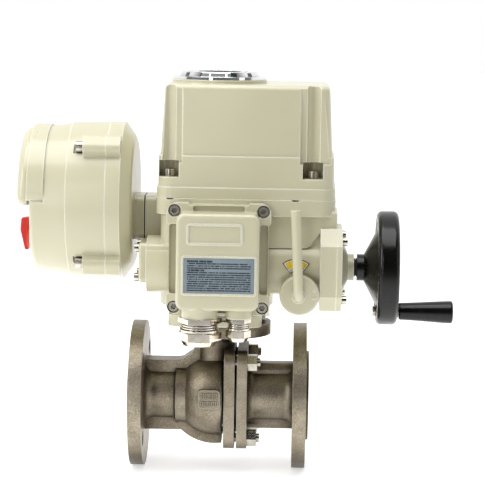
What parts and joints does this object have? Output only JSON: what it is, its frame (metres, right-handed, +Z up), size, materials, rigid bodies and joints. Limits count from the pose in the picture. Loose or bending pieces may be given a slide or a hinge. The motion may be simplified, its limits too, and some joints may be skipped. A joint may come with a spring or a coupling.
{
  "type": "motorized valve actuator",
  "caption": "Electric quarter-turn actuator with handwheel, declutch lever, terminal box and control box, mounted on a flanged two-piece ball valve.",
  "frame": {"origin": "centre of the inlet flange's raised face, on the pipe axis", "axes": "+X along the pipe to the outlet, +Z up along the valve stem, -Y towards the terminal box"},
  "size_m": [0.4785, 0.2142, 0.4487],
  "materials": {
    "cream_paint": "satin powder coat",
    "cast_stainless": "pickled and blasted casting",
    "machined_steel": "turned and ground",
    "zinc_steel": "bright fasteners",
    "ball_steel": "polished stainless",
    "black_wheel": "satin black",
    "nickel_plate": "nickel plated brass",
    "bronze": "machined bronze",
    "black_rubber": "matt",
    "white_polymer": "moulded",
    "glass_clear": "tempered",
    "red_plastic": "moulded",
    "black_plastic": "moulded",
    "label_grey": "printed foil",
    "label_yellow": "printed film",
    "board_green": "solder mask",
    "chrome_bezel": "bright"
  },
  "bodies": {
    "housing": {"valve_body": "cast_stainless", "valve_tail_piece": "cast_stainless", "body_joint_gasket": "black_rubber", "body_joint_studs": "zinc_steel", "body_joint_nuts": "zinc_steel", "seat_rings": "white_polymer", "stem_thrust_washer": "white_polymer", "stem_packing": "white_polymer", "packing_gland": "machined_steel", "base_plate": "cream_paint", "base_plate_screws": "zinc_steel", "mounting_bolts": "zinc_steel", "gear_housing": "cream_paint", "output_bushes": "bronze", "worm_bearings": "machined_steel", "motor": "machined_steel", "left_end_cover": "cream_paint", "right_end_cover": "cream_paint", "end_cover_screws": "zinc_steel", "shaft_seal": "black_rubber", "lever_scale_plate": "label_yellow", "top_cover": "cream_paint", "cover_screws": "zinc_steel", "indicator_bezel": "chrome_bezel", "bezel_screws": "zinc_steel", "indicator_glass": "glass_clear", "limit_switches": "black_plastic", "circuit_board": "board_green", "terminal_box": "cream_paint", "terminal_box_screws": "zinc_steel", "terminal_block": "black_plastic", "nameplate": "label_grey", "large_gland_body": "nickel_plate", "large_gland_nut": "nickel_plate", "small_gland_body": "nickel_plate", "small_gland_nut": "nickel_plate", "control_body": "cream_paint", "control_cover": "cream_paint", "control_cover_screws": "zinc_steel", "control_neck_gasket": "black_rubber", "control_window": "glass_clear", "display_board": "board_green"},
    "output": {"ball": "ball_steel", "valve_stem": "machined_steel", "drive_sleeve": "machined_steel", "output_shaft": "machined_steel", "worm_wheel": "bronze", "switch_cams": "white_polymer", "indicator_disc": "black_plastic"},
    "handwheel_shaft": {"handwheel": "black_wheel", "handwheel_nut": "zinc_steel", "worm_shaft": "machined_steel", "worm_spur_gear": "machined_steel", "grip_spindle": "zinc_steel"},
    "grip": {"handwheel_grip": "black_wheel"},
    "motor_rotor": {"motor_pinion": "machined_steel"},
    "lever": {"clutch_lever": "cream_paint", "clutch_shaft": "machined_steel"},
    "mode_selector": {"mode_knob": "red_plastic"},
    "command_selector": {"command_knob": "red_plastic"}
  },
  "joints": [
    {"name": "valve_turn", "type": "hinge", "parent": "housing", "child": "output", "pos_m": [0.097, 0, 0], "axis": [0, 0, 1], "range_deg": [-90, 0]},
    {"name": "handwheel_turn", "type": "hinge", "parent": "housing", "child": "handwheel_shaft", "pos_m": [0.097, -0.05, 0.155], "axis": [1, 0, 0], "range_deg": [-2700, 0]},
    {"name": "motor_turn", "type": "hinge", "parent": "housing", "child": "motor_rotor", "pos_m": [0.197, -0.05, 0.2], "axis": [1, 0, 0], "range_deg": [0, 5400]},
    {"name": "grip_spin", "type": "hinge", "parent": "handwheel_shaft", "child": "grip", "pos_m": [0.327, -0.05825, 0.10822], "axis": [1, 0, 0], "continuous": true},
    {"name": "declutch", "type": "hinge", "parent": "housing", "child": "lever", "pos_m": [0.1901, -0.092, 0.1293], "axis": [0, 1, 0], "range_deg": [0, 45]},
    {"name": "mode_select", "type": "hinge", "parent": "housing", "child": "mode_selector", "pos_m": [-0.106, -0.045, 0.186], "axis": [1, 0, 0], "range_deg": [-45, 45]},
    {"name": "command_select", "type": "hinge", "parent": "housing", "child": "command_selector", "pos_m": [-0.106, 0.045, 0.186], "axis": [1, 0, 0], "range_deg": [-45, 45]}
  ],
  "couplings": [
    {"joint": "handwheel_turn", "follows": "valve_turn", "ratio": 30},
    {"joint": "motor_turn", "follows": "valve_turn", "ratio": -60}
  ]
}
